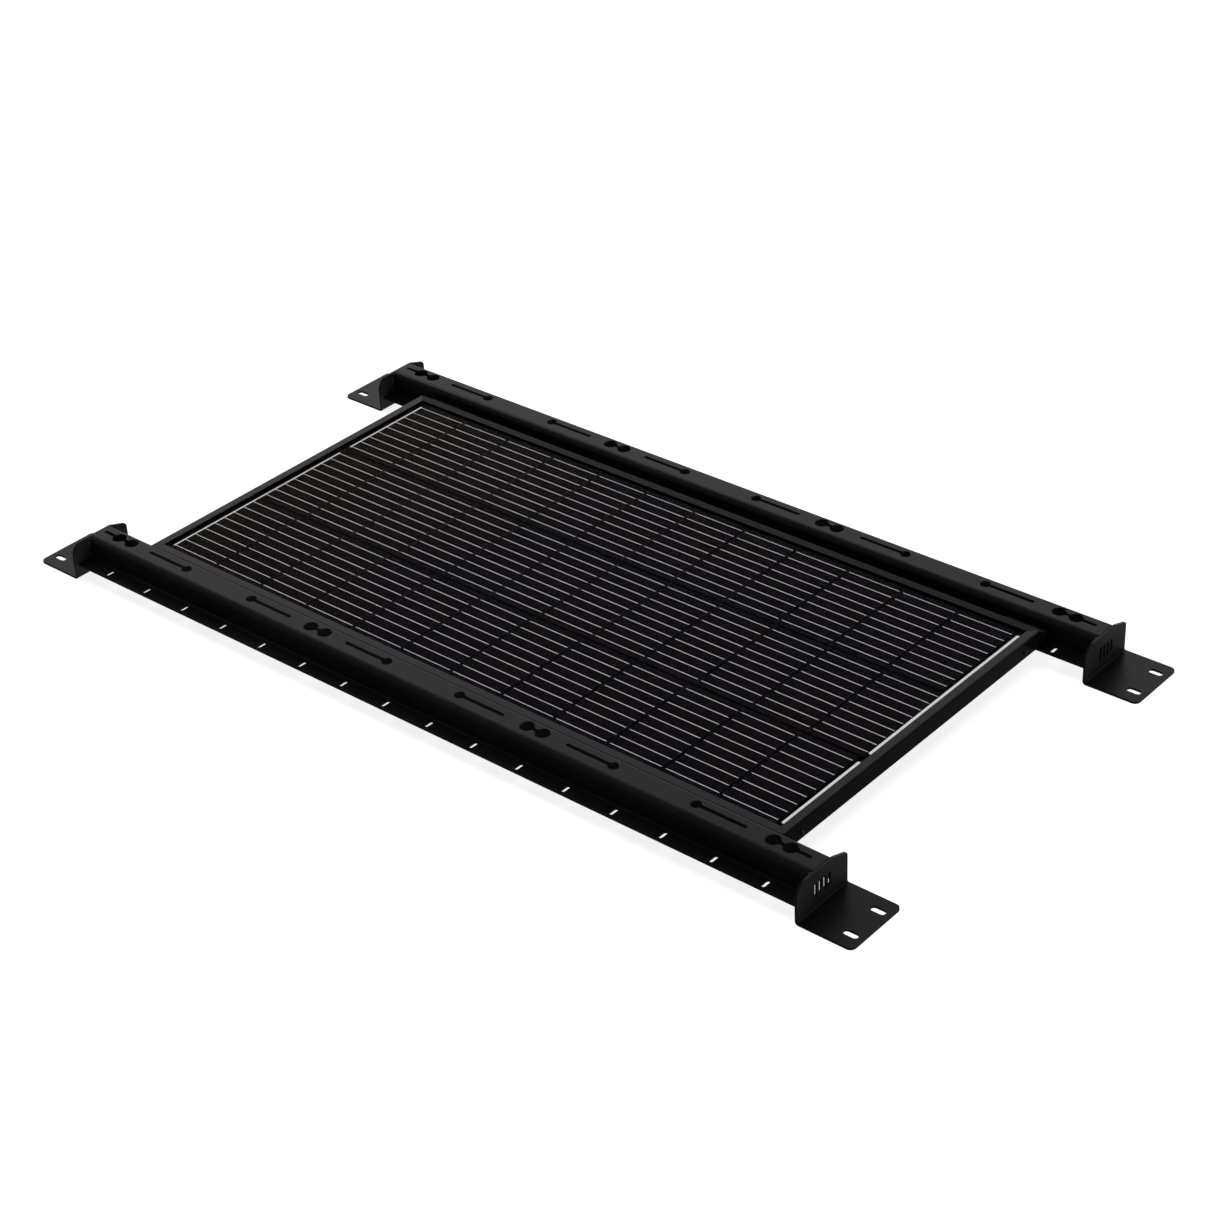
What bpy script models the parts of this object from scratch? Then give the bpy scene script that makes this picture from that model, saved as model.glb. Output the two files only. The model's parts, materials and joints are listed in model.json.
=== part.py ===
"""Framed solar panel held between two folded hat rails that stand on end feet.

X runs along the rails, Y across them, +Z is up, and the feet stand on Z = 0.
Lengths below are in millimetres, and MM turns them into Blender's metres.
"""
import math

import bmesh
import bpy
from mathutils import Vector

MM = 0.001
GAP = 0.3                   # air left between two pieces that touch

# Rails: one folded sheet each, flat top, two walls and two bottom flanges.
RAIL_Y = 299.0              # each rail's centre, from the middle of the assembly
RAIL_HALF_LENGTH = 615.5
RAIL_SHEET = 2.5
RAIL_TOP = 54.4
RAIL_HALF_WIDTH = 20.0
RAIL_OUTER_BEND = 9.0       # the large bend on the -Y side
RAIL_INNER_BEND = 3.0
FLANGE_TOP = 22.2
FLANGE_EDGE = 42.5
FLANGE_BEND = 3.0           # inside radius where a wall meets its flange

# Hole pattern in each rail's top.
MODULE = 375.0              # from one double hole to the next
PATTERN_X = -4.0            # the pattern's middle, from the middle of the rail
HOLE_LINE = 5.3             # the pattern's offset from the rail's centre
SLOT_HALF_WIDTH = 2.7
KEYHOLE_RADIUS = 7.5
KEYHOLE_OFFSET = 63.0       # from the middle of a module
KEYHOLE_REACH = 74.5
DOUBLE_RADIUS = 10.0
DOUBLE_SPACING = 25.0
TAIL_REACH = 30.0

# Transverse slots in each rail's -Y flange.
FLANGE_SLOT_COUNT = 16
FLANGE_SLOT_PITCH = 75.0
FLANGE_SLOT_LENGTH = 14.0
FLANGE_SLOT_WIDTH = 5.0
FLANGE_SLOT_CENTRE = -31.0

# End brackets: a plate across the rail's end, folded out into a foot.
PLATE_SHEET = 3.0
PLATE_HALF_WIDTH = 48.0
PLATE_TOP = 54.0
PLATE_NEAR_RADIUS = 18.0
PLATE_FAR_RADIUS = 7.0
PLATE_FAR_TOP = 47.0        # the plate drops to this beyond the rail's far side
FOOT_LENGTH = 76.0
FOOT_BEND = 2.0             # inside radius
FOOT_CORNER = 8.0
FOOT_SLOT_LENGTH = 20.0
FOOT_SLOT_WIDTH = 9.0
FOOT_SLOT_INSET = 17.5      # from the foot's free end
FOOT_SLOT_HALF_SPACING = 26.0
VENT_WIDTH = 4.5
VENT_PITCH = 8.5
VENT_LOW = 18.5
VENT_HIGH = 38.0
VENT_CENTRE = 0.5

# Panel frame.
PANEL_X = 7.7
PANEL_Y = -10.4
PANEL_LENGTH = 1081.0
PANEL_WIDTH = 536.2
FRAME_BASE = 27.0
FRAME_HEIGHT = 25.0
FRAME_LIP = 13.0
FRAME_SHEET = 1.5           # lip, ledge and bottom flange
FRAME_WALL = 2.0
FRAME_FLANGE = 22.0
FRAME_ROUND = 2.0
LEDGE_TOP = 16.1            # above the frame's base
LEDGE_DEPTH = 11.0

# Corner keys and the screws that hold them.
KEY_SHEET = 6.0
KEY_END_LEG = 45.0
KEY_SIDE_LEG = 24.0
SCREW_PLACES = (14.0, 35.0)  # from the panel's corner, along each end
SCREW_HEIGHT = 8.0          # above the frame's base
SCREW_RADIUS = 1.6
SCREW_LENGTH = 10.0
SCREW_HEAD_RADIUS = 3.0
SCREW_HEAD_HEIGHT = 1.6
SCREW_HOLE_RADIUS = 2.0

# Laminate, from the glass down.
LAMINATE_MARGIN = 2.6       # from the frame's outer face to the glass edge
SEAL_TOP = 50.2
SEAL_SHEET = 0.3
GLASS_SHEET = 3.2
FRONT_SHEET = 0.4
CELL_SHEET = 0.3
REAR_SHEET = 0.4
BACK_SHEET = 0.5

# Cells.
CELL_COUNT = 12
CELL_PITCH = 86.4
CELL_LENGTH = 83.0
CELL_WIDTH = 166.0
STRING_PITCH = 170.1
STRING_SHIFT = {"near": -1.5, "middle": 2.5, "far": -1.5}
LINK_WIDTH = 5.0
LINK_PLACES = (-54.0, 0.0, 54.0)
RIBBON_END_INSET = 8.0      # from a string's long edge to the ribbon's end
LEFT_RIBBON_X = -519.5      # from the middle of the panel
LEFT_RIBBON_WIDTH = 2.5
RIGHT_RIBBON_X = 523.0
RIGHT_RIBBON_WIDTH = 5.8

# Spacer blocks and bolts between the panel and the rails.
SPACER_LENGTH = 60.0
SPACER_END_INSET = 2.0
SPACER_TOP = 47.0           # beside the panel; the top slopes down to the rail
SPACER_LOW_TOP = 38.0
SPACER_CHAMFER = 1.5
BOLT_HEIGHT = 6.8           # above the frame's base
BOLT_RADIUS = 2.5
BOLT_HOLE_RADIUS = 2.8
BOLT_TIP = 7.0              # past the nut's bearing face
HEX_APOTHEM = 4.0
HEAD_HEIGHT = 3.5
NUT_HEIGHT = 4.0

# Junction box under the panel.
BOX_X = -364.0
BOX_LENGTH = 110.0
BOX_WIDTH = 90.0
BOX_LOW = 22.4
BOX_WALL = 2.2
BOX_CORNER = 6.0
BOX_SEAL = 0.8
LID_SHEET = 2.0
LID_RIM = 4.0
GLAND_HALF_SPACING = 20.0
GLAND_HEIGHT = 34.2
GLAND_RADIUS = 7.4
GLAND_THREAD = 5.5
GLAND_THREAD_LENGTH = 8.0
GLAND_BORE = 2.8
GLAND_HEX_LENGTH = 6.0
GLAND_CAP_LENGTH = 17.0     # from the box wall, with the hex
GLAND_CAP_RADIUS = 6.6
GLAND_TIP_RADIUS = 4.0
GLAND_NUT_LENGTH = 3.0
TERMINAL_HALF_LENGTH = 34.0
TERMINAL_HALF_WIDTH = 8.0
TERMINAL_HEIGHT = 8.0
DIODE_SETBACK = 20.0        # from the terminal block's middle
DIODE_PLACES = (-22.0, 0.0, 22.0)
DIODE_RADIUS = 3.0
DIODE_HALF_BODY = 5.0
DIODE_LEAD_RADIUS = 0.8
DIODE_HALF_LENGTH = 9.0
DIODE_DROP = 4.0            # from the box's inner roof to the diode's axis


def clear_scene():
    """Remove what the scene already holds."""
    for item in list(bpy.data.objects):
        bpy.data.objects.remove(item, do_unlink=True)


def material(name, colour, roughness, metallic=0.0):
    """Return a Principled material with a plain colour."""
    made = bpy.data.materials.new(name)
    made.use_nodes = True
    shader = made.node_tree.nodes["Principled BSDF"]
    shader.inputs["Base Color"].default_value = (*colour, 1.0)
    shader.inputs["Roughness"].default_value = roughness
    shader.inputs["Metallic"].default_value = metallic
    made.diffuse_color = (*colour, 1.0)
    return made


def arc(centre, radius, start, end, steps):
    """Return points on an arc, with both ends; the angles are in degrees."""
    points = []
    for step in range(steps + 1):
        angle = math.radians(start + (end - start) * step / steps)
        x = centre[0] + radius * math.cos(angle)
        y = centre[1] + radius * math.sin(angle)
        points.append((x, y))
    return points


def rounded_rectangle(low, high, radius, steps=4):
    """Return a rectangle's outline with round corners, anticlockwise."""
    left, bottom = low[0] + radius, low[1] + radius
    right, top = high[0] - radius, high[1] - radius
    return (arc((right, bottom), radius, -90, 0, steps)
            + arc((right, top), radius, 0, 90, steps)
            + arc((left, top), radius, 90, 180, steps)
            + arc((left, bottom), radius, 180, 270, steps))


def stadium(centre, length, width, steps=6):
    """Return a round-ended slot's outline, long in X."""
    half = length / 2 - width / 2
    right = (centre[0] + half, centre[1])
    left = (centre[0] - half, centre[1])
    return (arc(right, width / 2, -90, 90, steps)
            + arc(left, width / 2, 90, 270, steps))


def bead_slot(beads, radius, middle, low_end=None, high_end=None):
    """Return a slot along X that widens into a circle at each bead."""
    reach = SLOT_HALF_WIDTH
    mouth = math.degrees(math.asin(reach / radius))
    upper = []
    if low_end is not None:
        upper += arc((low_end + reach, 0.0), reach, 180, 90, 3)
    for index, bead in enumerate(beads):
        joined_low = index > 0 or low_end is not None
        joined_high = index < len(beads) - 1 or high_end is not None
        start = 180 - mouth if joined_low else 180
        end = mouth if joined_high else 0
        upper += arc((bead, 0.0), radius, start, end, 9)
    if high_end is not None:
        upper += arc((high_end - reach, 0.0), reach, 90, 0, 3)
    lower = [(x, -y) for x, y in reversed(upper[1:-1])]
    return [(x, y + middle) for x, y in upper + lower]


def add_prism(mesh, outline, low, high, axis):
    """Add a prism of a closed outline, from low to high along an axis."""
    order = {"X": (2, 0, 1), "Y": (0, 2, 1), "Z": (0, 1, 2)}[axis]
    rings = []
    for level in (low, high):
        ring = []
        for point in outline:
            values = (point[0], point[1], level)
            ring.append(mesh.verts.new([values[place] * MM for place in order]))
        rings.append(ring)
    faces = [mesh.faces.new(rings[0]), mesh.faces.new(rings[1])]
    count = len(outline)
    for index in range(count):
        after = (index + 1) % count
        corners = (rings[0][index], rings[0][after], rings[1][after], rings[1][index])
        faces.append(mesh.faces.new(corners))
    bmesh.ops.recalc_face_normals(mesh, faces=faces)


def add_turned(mesh, profile, segments=12, closed=False):
    """Add a turned shape along X from (place, radius, kind) points.

    A hex point keeps a six-sided ring, whose radius is its apothem. An open
    profile is capped at both ends, and a closed one is a ring with a bore.
    """
    rings = []
    for place, radius, kind in profile:
        ring = []
        for step in range(segments):
            angle = 2 * math.pi * step / segments
            reach = radius
            if kind == "hex":
                sector = math.pi / 3
                reach = radius / math.cos(angle % sector - sector / 2)
            point = (place, reach * math.cos(angle), reach * math.sin(angle))
            ring.append(mesh.verts.new(Vector(point) * MM))
        rings.append(ring)
    faces = []
    pairs = list(zip(rings, rings[1:]))
    if closed:
        pairs.append((rings[-1], rings[0]))
    for ring, following in pairs:
        for step in range(segments):
            after = (step + 1) % segments
            corners = (ring[step], ring[after], following[after], following[step])
            faces.append(mesh.faces.new(corners))
    if not closed:
        faces += [mesh.faces.new(rings[0]), mesh.faces.new(rings[-1])]
    bmesh.ops.recalc_face_normals(mesh, faces=faces)


def finish(name, mesh, surface, smooth=False):
    """Turn a bmesh into an object with its material."""
    data = bpy.data.meshes.new(name)
    mesh.to_mesh(data)
    mesh.free()
    if smooth:
        data.shade_smooth()
        data.set_sharp_from_angle(angle=math.radians(35))
    made = bpy.data.objects.new(name, data)
    bpy.context.scene.collection.objects.link(made)
    if surface is not None:
        data.materials.append(surface)
    return made


def prism(name, outline, low, high, axis, surface, smooth=False):
    """Make one object from one prism."""
    mesh = bmesh.new()
    add_prism(mesh, outline, low, high, axis)
    return finish(name, mesh, surface, smooth)


def cut(target, mesh, operation="DIFFERENCE"):
    """Give an object a Boolean whose hidden cutter is built from a bmesh."""
    cutter = finish(target.name + "_cutter", mesh, None)
    cutter.hide_render = True
    cutter.display_type = "WIRE"
    cutter.parent = target
    step = target.modifiers.new(operation.title(), "BOOLEAN")
    step.operation = operation
    step.solver = "EXACT"
    step.object = cutter


def place(target, x=0.0, y=0.0, z=0.0, turn=0.0):
    """Move an object to a place in millimetres, turned about Z in degrees."""
    target.location = Vector((x, y, z)) * MM
    target.rotation_euler = (0.0, 0.0, math.radians(turn))


# ---------------------------------------------------------------- rails

def rail_outline():
    """Return the hat section as (y, z), from the -Y flange round the outside."""
    flange_low = FLANGE_TOP - RAIL_SHEET
    bend_height = FLANGE_TOP + FLANGE_BEND
    foot_out = RAIL_HALF_WIDTH + FLANGE_BEND
    under_bend = FLANGE_BEND + RAIL_SHEET
    left_bend = (-RAIL_HALF_WIDTH + RAIL_OUTER_BEND, RAIL_TOP - RAIL_OUTER_BEND)
    right_bend = (RAIL_HALF_WIDTH - RAIL_INNER_BEND, RAIL_TOP - RAIL_INNER_BEND)
    outer = [(-FLANGE_EDGE, FLANGE_TOP)]
    outer += arc((-foot_out, bend_height), FLANGE_BEND, -90, 0, 3)
    outer += arc(left_bend, RAIL_OUTER_BEND, 180, 90, 7)
    outer += arc(right_bend, RAIL_INNER_BEND, 90, 0, 4)
    outer += arc((foot_out, bend_height), FLANGE_BEND, 180, 270, 3)
    outer += [(FLANGE_EDGE, FLANGE_TOP), (FLANGE_EDGE, flange_low)]
    inner = arc((foot_out, bend_height), under_bend, 270, 180, 3)
    inner += arc(right_bend, RAIL_INNER_BEND - RAIL_SHEET, 0, 90, 4)
    inner += arc(left_bend, RAIL_OUTER_BEND - RAIL_SHEET, 90, 180, 7)
    inner += arc((-foot_out, bend_height), under_bend, 0, -90, 3)
    inner += [(-FLANGE_EDGE, flange_low)]
    return outer + inner


def top_holes():
    """Return the outlines of the holes in a rail's top."""
    outlines = []
    for index in (-1, 0, 1):
        middle = PATTERN_X + index * MODULE
        for side in (-1, 1):
            bead = middle + side * KEYHOLE_OFFSET
            end = bead + side * KEYHOLE_REACH
            ends = {"low_end": end} if side < 0 else {"high_end": end}
            outlines.append(bead_slot([bead], KEYHOLE_RADIUS, HOLE_LINE, **ends))
    for index in (-1.5, -0.5, 0.5, 1.5):
        middle = PATTERN_X + index * MODULE
        beads = [middle - DOUBLE_SPACING / 2, middle + DOUBLE_SPACING / 2]
        ends = {}
        if index == -1.5:
            ends["low_end"] = beads[0] - TAIL_REACH
        if index == 1.5:
            ends["high_end"] = beads[1] + TAIL_REACH
        outlines.append(bead_slot(beads, DOUBLE_RADIUS, HOLE_LINE, **ends))
    return outlines


def make_rail(name, centre, bolt_places, wall_side, surface):
    """Make a rail with its holes and the two bolt holes in one wall."""
    rail = prism(name, rail_outline(), -RAIL_HALF_LENGTH, RAIL_HALF_LENGTH, "X",
                 surface, smooth=True)
    holes = bmesh.new()
    for outline in top_holes():
        add_prism(holes, outline, RAIL_TOP - 2 * RAIL_SHEET, RAIL_TOP + 2.0, "Z")
    first = -(FLANGE_SLOT_COUNT - 1) / 2 * FLANGE_SLOT_PITCH
    for index in range(FLANGE_SLOT_COUNT):
        slot = stadium((0.0, 0.0), FLANGE_SLOT_LENGTH, FLANGE_SLOT_WIDTH, 4)
        along = first + index * FLANGE_SLOT_PITCH
        turned = [(along - v, FLANGE_SLOT_CENTRE + u) for u, v in slot]
        add_prism(holes, turned, FLANGE_TOP - 2 * RAIL_SHEET, FLANGE_TOP + 2.0, "Z")
    height = FRAME_BASE + BOLT_HEIGHT
    wall = wall_side * (RAIL_HALF_WIDTH - RAIL_SHEET / 2)
    for along in bolt_places:
        ring = arc((along, height), BOLT_HOLE_RADIUS, 0, 330, 11)
        add_prism(holes, ring, wall - 2.0, wall + 2.0, "Y")
    cut(rail, holes)
    place(rail, y=centre)


# ---------------------------------------------------------------- end brackets

def plate_outline():
    """Return a bracket's upright plate as (y, z), down past the floor."""
    side = PLATE_HALF_WIDTH
    far_corner = (side - PLATE_FAR_RADIUS, PLATE_FAR_TOP - PLATE_FAR_RADIUS)
    near_corner = (-side + PLATE_NEAR_RADIUS, PLATE_TOP - PLATE_NEAR_RADIUS)
    points = [(-side, -10.0), (side, -10.0)]
    points += arc(far_corner, PLATE_FAR_RADIUS, 0, 75, 5)
    points += [(RAIL_HALF_WIDTH + 1.0, PLATE_TOP)]
    points += arc(near_corner, PLATE_NEAR_RADIUS, 90, 180, 8)
    return points


def foot_outline(inner, end):
    """Return a bracket's plan, from behind the plate to the foot's round corners."""
    side = PLATE_HALF_WIDTH
    reach = side - FOOT_CORNER
    points = [(inner - 5.0, side), (inner - 5.0, -side)]
    points += arc((end - FOOT_CORNER, -reach), FOOT_CORNER, -90, 0, 4)
    points += arc((end - FOOT_CORNER, reach), FOOT_CORNER, 0, 90, 4)
    return points


def make_bracket(name, centre, side, surface):
    """Make one end bracket; side is +1 at the rail's +X end."""
    inner = RAIL_HALF_LENGTH + GAP
    outer = inner + PLATE_SHEET
    end = outer + FOOT_LENGTH
    bend = (outer + FOOT_BEND, PLATE_SHEET + FOOT_BEND)
    profile = arc(bend, FOOT_BEND + PLATE_SHEET, 180, 270, 5)
    profile += [(end, 0.0), (end, PLATE_SHEET)]
    profile += arc(bend, FOOT_BEND, 270, 180, 4)
    profile += [(outer, PLATE_TOP), (inner, PLATE_TOP)]
    profile = [(side * x, z) for x, z in profile]
    bracket = prism(name, profile, -PLATE_HALF_WIDTH, PLATE_HALF_WIDTH, "Y", surface)
    shape = bmesh.new()
    low, high = sorted((side * (inner - 5.0), side * (end + 5.0)))
    add_prism(shape, plate_outline(), low, high, "X")
    cut(bracket, shape, "INTERSECT")
    foot = bmesh.new()
    outline = [(side * x, y) for x, y in foot_outline(inner, end)]
    add_prism(foot, outline, -5.0, PLATE_TOP + 5.0, "Z")
    cut(bracket, foot, "INTERSECT")
    holes = bmesh.new()
    for across in (-FOOT_SLOT_HALF_SPACING, FOOT_SLOT_HALF_SPACING):
        middle = (side * (end - FOOT_SLOT_INSET), across)
        slot = stadium(middle, FOOT_SLOT_LENGTH, FOOT_SLOT_WIDTH)
        add_prism(holes, slot, -2.0, PLATE_SHEET + 2.0, "Z")
    for index in range(4):
        across = VENT_CENTRE + (index - 1.5) * VENT_PITCH
        height = VENT_HIGH - VENT_LOW
        slot = stadium((0.0, 0.0), height, VENT_WIDTH, 4)
        upright = [(across - v, (VENT_LOW + VENT_HIGH) / 2 + u) for u, v in slot]
        low, high = sorted((side * (inner - 2.0), side * (outer + 2.0)))
        add_prism(holes, upright, low, high, "X")
    cut(bracket, holes)
    place(bracket, y=centre)


# ---------------------------------------------------------------- panel frame

def frame_outline():
    """Return the frame section as (inward depth, height), anticlockwise."""
    ledge_low = LEDGE_TOP - FRAME_SHEET
    lip_low = FRAME_HEIGHT - FRAME_SHEET
    corner = (FRAME_ROUND, FRAME_HEIGHT - FRAME_ROUND)
    points = [(0.0, 0.0), (FRAME_FLANGE, 0.0), (FRAME_FLANGE, FRAME_SHEET)]
    points += [(FRAME_WALL, FRAME_SHEET), (FRAME_WALL, ledge_low)]
    points += [(LEDGE_DEPTH, ledge_low), (LEDGE_DEPTH, LEDGE_TOP)]
    points += [(FRAME_WALL, LEDGE_TOP), (FRAME_WALL, lip_low)]
    points += [(FRAME_LIP, lip_low), (FRAME_LIP, FRAME_HEIGHT)]
    points += arc(corner, FRAME_ROUND, 90, 180, 5)
    return points


def make_frame_member(name, length, hole_places, hole_height, hole_radius, surface):
    """Make one mitred member whose outer face is the local Y = 0 plane."""
    mesh = bmesh.new()
    outline = frame_outline()
    rings = []
    for side in (-1, 1):
        ring = []
        for depth, height in outline:
            along = side * (length / 2 - depth - GAP)
            ring.append(mesh.verts.new(Vector((along, depth, height)) * MM))
        rings.append(ring)
    faces = [mesh.faces.new(rings[0]), mesh.faces.new(rings[1])]
    for index in range(len(outline)):
        after = (index + 1) % len(outline)
        corners = (rings[0][index], rings[0][after], rings[1][after], rings[1][index])
        faces.append(mesh.faces.new(corners))
    bmesh.ops.recalc_face_normals(mesh, faces=faces)
    member = finish(name, mesh, surface, smooth=True)
    holes = bmesh.new()
    for along in hole_places:
        ring = arc((along, hole_height), hole_radius, 0, 330, 11)
        add_prism(holes, ring, -1.0, FRAME_WALL + 1.0, "Y")
    cut(member, holes)
    return member


def make_frame(bolt_places, surface):
    """Make the four mitred members round the laminate."""
    near = PANEL_Y - PANEL_WIDTH / 2
    far = PANEL_Y + PANEL_WIDTH / 2
    left = PANEL_X - PANEL_LENGTH / 2
    right = PANEL_X + PANEL_LENGTH / 2
    offsets = [along - PANEL_X for along in bolt_places]
    mirrored = [-along for along in offsets]
    member = make_frame_member("frame_side_near", PANEL_LENGTH, offsets,
                               BOLT_HEIGHT, BOLT_HOLE_RADIUS, surface)
    place(member, PANEL_X, near, FRAME_BASE, 0)
    member = make_frame_member("frame_side_far", PANEL_LENGTH, mirrored,
                               BOLT_HEIGHT, BOLT_HOLE_RADIUS, surface)
    place(member, PANEL_X, far, FRAME_BASE, 180)
    screw_lines = [side * (PANEL_WIDTH / 2 - inset)
                   for side in (-1, 1) for inset in SCREW_PLACES]
    member = make_frame_member("frame_end_right", PANEL_WIDTH, screw_lines,
                               SCREW_HEIGHT, SCREW_HOLE_RADIUS, surface)
    place(member, right, PANEL_Y, FRAME_BASE, 90)
    member = make_frame_member("frame_end_left", PANEL_WIDTH, screw_lines,
                               SCREW_HEIGHT, SCREW_HOLE_RADIUS, surface)
    place(member, left, PANEL_Y, FRAME_BASE, -90)


def make_corner(corner, end, side, key_surface, screw_surface):
    """Make one corner key and its two screws; end and side are -1 or +1."""
    start = FRAME_WALL + GAP
    outline = [(start, start), (KEY_END_LEG, start), (KEY_END_LEG, start + KEY_SHEET)]
    outline += [(start + KEY_SHEET, start + KEY_SHEET)]
    outline += [(start + KEY_SHEET, KEY_SIDE_LEG), (start, KEY_SIDE_LEG)]
    corner_x = PANEL_X + end * PANEL_LENGTH / 2
    corner_y = PANEL_Y + side * PANEL_WIDTH / 2
    plan = [(-end * depth, -side * along) for along, depth in outline]
    low = FRAME_SHEET + GAP
    high = LEDGE_TOP - FRAME_SHEET - GAP
    key = prism("corner_key_" + corner, plan, low, high, "Z", key_surface)
    holes = bmesh.new()
    for along in SCREW_PLACES:
        ring = arc((-side * along, SCREW_HEIGHT), SCREW_HOLE_RADIUS, 0, 330, 11)
        depths = sorted((-end * (start - 2.0), -end * (start + KEY_SHEET + 2.0)))
        add_prism(holes, ring, depths[0], depths[1], "X")
    cut(key, holes)
    place(key, corner_x, corner_y, FRAME_BASE)
    for number, along in enumerate(SCREW_PLACES, start=1):
        crown = GAP + SCREW_HEAD_HEIGHT
        profile = [(crown, 0.4 * SCREW_HEAD_RADIUS, "round"),
                   (crown - 0.4, 0.8 * SCREW_HEAD_RADIUS, "round"),
                   (GAP, SCREW_HEAD_RADIUS, "round"), (GAP, SCREW_RADIUS, "round"),
                   (-SCREW_LENGTH, SCREW_RADIUS, "round")]
        mesh = bmesh.new()
        add_turned(mesh, profile)
        name = "corner_screw_" + corner + "_" + str(number)
        screw = finish(name, mesh, screw_surface, smooth=True)
        turn = 0 if end > 0 else 180
        height = FRAME_BASE + SCREW_HEIGHT
        place(screw, corner_x, corner_y - side * along, height, turn)


# ---------------------------------------------------------------- laminate

def make_sheet(name, top, sheet, inset, surface):
    """Make one flat sheet of the laminate, and return its lower level."""
    half_x = PANEL_LENGTH / 2 - LAMINATE_MARGIN - inset
    half_y = PANEL_WIDTH / 2 - LAMINATE_MARGIN - inset
    outline = rounded_rectangle((-half_x, -half_y), (half_x, half_y), 2.0, 2)
    piece = prism(name, outline, top - sheet, top, "Z", surface)
    place(piece, PANEL_X, PANEL_Y)
    return top - sheet


def make_seal(surface):
    """Make the bonding strip between the glass and the frame's lip."""
    half_x = PANEL_LENGTH / 2 - LAMINATE_MARGIN
    half_y = PANEL_WIDTH / 2 - LAMINATE_MARGIN
    outer = rounded_rectangle((-half_x, -half_y), (half_x, half_y), 2.0, 2)
    low = SEAL_TOP - SEAL_SHEET
    seal = prism("frame_seal", outer, low, SEAL_TOP, "Z", surface)
    width = FRAME_LIP - LAMINATE_MARGIN - 1.5
    window = bmesh.new()
    inner_low = (-half_x + width, -half_y + width)
    inner = rounded_rectangle(inner_low, (-inner_low[0], -inner_low[1]), 2.0, 2)
    add_prism(window, inner, low - 1.0, SEAL_TOP + 1.0, "Z")
    cut(seal, window)
    place(seal, PANEL_X, PANEL_Y)
    return low


def make_string(name, shift, centre, top, surface):
    """Make one string: twelve half cells joined by links across the gaps."""
    rows = [-CELL_WIDTH / 2]
    for link in LINK_PLACES:
        rows += [link - LINK_WIDTH / 2, link + LINK_WIDTH / 2]
    rows += [CELL_WIDTH / 2]
    columns = []
    start = -(CELL_COUNT * CELL_PITCH - (CELL_PITCH - CELL_LENGTH)) / 2
    for index in range(CELL_COUNT):
        left = start + index * CELL_PITCH
        columns += [left, left + CELL_LENGTH]
    mesh = bmesh.new()
    grid = [[mesh.verts.new((x * MM, y * MM, 0.0)) for y in rows] for x in columns]
    filled = []
    for column in range(len(columns) - 1):
        for row in range(len(rows) - 1):
            is_gap = column % 2 == 1
            is_link = row % 2 == 1
            if is_gap and not is_link:
                continue
            corners = (grid[column][row], grid[column + 1][row],
                       grid[column + 1][row + 1], grid[column][row + 1])
            filled.append(mesh.faces.new(corners))
    raised = bmesh.ops.extrude_face_region(mesh, geom=filled)
    lifted = [item for item in raised["geom"] if isinstance(item, bmesh.types.BMVert)]
    bmesh.ops.translate(mesh, vec=(0.0, 0.0, CELL_SHEET * MM), verts=lifted)
    bmesh.ops.recalc_face_normals(mesh, faces=mesh.faces)
    string = finish(name, mesh, surface)
    place(string, PANEL_X + shift, centre, top - CELL_SHEET)


def make_ribbon(name, along, width, centres, top, surface):
    """Make one bus ribbon across the ends of the strings at the centres."""
    reach = CELL_WIDTH / 2 - RIBBON_END_INSET
    low = (along - width / 2, min(centres) - reach)
    high = (along + width / 2, max(centres) + reach)
    outline = rounded_rectangle(low, high, 1.0, 1)
    prism(name, outline, top - CELL_SHEET, top, "Z", surface)


def make_laminate(surfaces):
    """Make the seal, the glass, the cells and the sheets behind them."""
    level = make_seal(surfaces["seal"]) - GAP
    level = make_sheet("glass", level, GLASS_SHEET, 0.0, surfaces["glass"]) - GAP
    level = make_sheet("encapsulant_front", level, FRONT_SHEET, 1.0,
                       surfaces["encapsulant"]) - GAP
    centres = {"near": PANEL_Y - STRING_PITCH, "middle": PANEL_Y,
               "far": PANEL_Y + STRING_PITCH}
    for which, centre in centres.items():
        make_string("cell_string_" + which, STRING_SHIFT[which], centre, level,
                    surfaces["cell"])
    left = (PANEL_X + LEFT_RIBBON_X, LEFT_RIBBON_WIDTH)
    right = (PANEL_X + RIGHT_RIBBON_X, RIGHT_RIBBON_WIDTH)
    make_ribbon("bus_ribbon_left_far", *left, [centres["far"]], level, surfaces["ribbon"])
    make_ribbon("bus_ribbon_left_joined", *left, [centres["near"], centres["middle"]],
                level, surfaces["ribbon"])
    make_ribbon("bus_ribbon_right_joined", *right, [centres["middle"], centres["far"]],
                level, surfaces["ribbon"])
    make_ribbon("bus_ribbon_right_near", *right, [centres["near"]], level,
                surfaces["ribbon"])
    level = level - CELL_SHEET - GAP
    level = make_sheet("encapsulant_rear", level, REAR_SHEET, 1.0,
                       surfaces["encapsulant"]) - GAP
    return make_sheet("backsheet", level, BACK_SHEET, 0.0, surfaces["backsheet"])


# ---------------------------------------------------------------- fixings

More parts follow.
